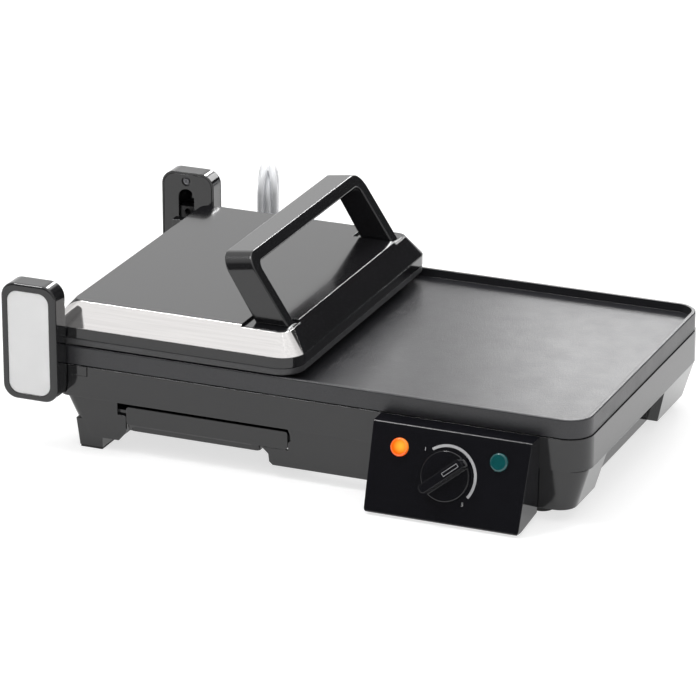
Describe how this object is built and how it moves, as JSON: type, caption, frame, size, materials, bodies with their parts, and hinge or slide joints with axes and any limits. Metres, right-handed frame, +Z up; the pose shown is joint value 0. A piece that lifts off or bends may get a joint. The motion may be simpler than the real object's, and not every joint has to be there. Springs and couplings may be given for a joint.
{
  "type": "panini press",
  "caption": "Contact grill with a hinged floating lid over one half of a wide griddle, bail handle, sloped control panel and slide-out drip tray.",
  "frame": {"origin": "middle of the footprint, on the surface that the press stands on, without the cord", "axes": "+X from the hinge towers towards the open end of the griddle, +Y from the control panel to the back, +Z up"},
  "size_m": [0.4804, 0.4257, 0.1695],
  "materials": {
    "black_plastic": "polished black moulding",
    "black_matte": "satin black moulding",
    "griddle_coating": "dark non-stick coating on cast aluminium",
    "polished_steel": "polished",
    "sheet_steel": "plain sheet",
    "screw_steel": "zinc plated",
    "silver_paint": "silver",
    "element_steel": "heat-browned",
    "ceramic": "glazed ceramic",
    "rubber_black": "matte",
    "amber_lens": "clear amber plastic",
    "green_lens": "clear green plastic",
    "lamp_glass": "neon lamp",
    "cord_grey": "smooth",
    "brass_pin": "bright"
  },
  "bodies": {
    "base": {"base_housing": "black_plastic", "bottom_cover": "sheet_steel", "bottom_cover_screws": "screw_steel", "rubber_feet": "rubber_black", "foot_pads": "rubber_black", "griddle_plate": "griddle_coating", "griddle_element": "element_steel", "heat_shield": "sheet_steel", "griddle_screws": "screw_steel", "terminal_block": "ceramic", "terminal_screw": "screw_steel", "control_panel": "black_matte", "panel_screws": "screw_steel", "thermostat": "ceramic", "thermostat_nut": "screw_steel", "thermostat_probe": "element_steel", "power_lamp_lens": "amber_lens", "ready_lamp_lens": "green_lens", "pilot_lamps": "lamp_glass", "tower_front_shell": "black_plastic", "tower_back_shell": "black_plastic", "tower_front_cover": "black_plastic", "tower_back_cover": "black_plastic", "tower_front_badge": "silver_paint", "tower_back_badge": "silver_paint", "cover_screws": "screw_steel", "arm_screws": "screw_steel", "strain_relief": "rubber_black", "cord_lead": "cord_grey", "cord_hank": "cord_grey", "cord_tie": "black_matte", "cord_tail": "cord_grey", "plug_body": "cord_grey", "plug_pins": "brass_pin"},
    "knob": {"dial_knob": "black_matte", "thermostat_shaft": "screw_steel"},
    "tray": {"drip_tray": "black_matte"},
    "carriage": {"slider_front": "black_matte", "slider_back": "black_matte", "hinge_pins": "sheet_steel"},
    "lid": {"lid_frame": "black_plastic", "lid_cover": "black_plastic", "lid_front_trim": "polished_steel", "lid_screws": "screw_steel", "upper_plate": "griddle_coating", "upper_element": "element_steel", "upper_reflector": "sheet_steel", "upper_plate_screws": "screw_steel", "handle": "black_matte", "handle_socket_front": "black_plastic", "handle_socket_back": "black_plastic", "handle_screws": "screw_steel"}
  },
  "joints": [
    {"name": "knob_turn", "type": "hinge", "parent": "base", "child": "knob", "pos_m": [0.13905, -0.15696, 0.0363], "axis": [0, 0.9385, -0.3452], "range_deg": [-86, 76]},
    {"name": "drip_tray_slide", "type": "slide", "parent": "base", "child": "tray", "axis": [0, -1, 0], "range_m": [0, 0.18]},
    {"name": "lid_lift", "type": "slide", "parent": "base", "child": "carriage", "axis": [0, 0, 1], "range_m": [0, 0.018]},
    {"name": "lid_hinge", "type": "hinge", "parent": "carriage", "child": "lid", "pos_m": [-0.21775, 0, 0.0851], "axis": [0, -1, 0], "range_deg": [0, 180]}
  ]
}
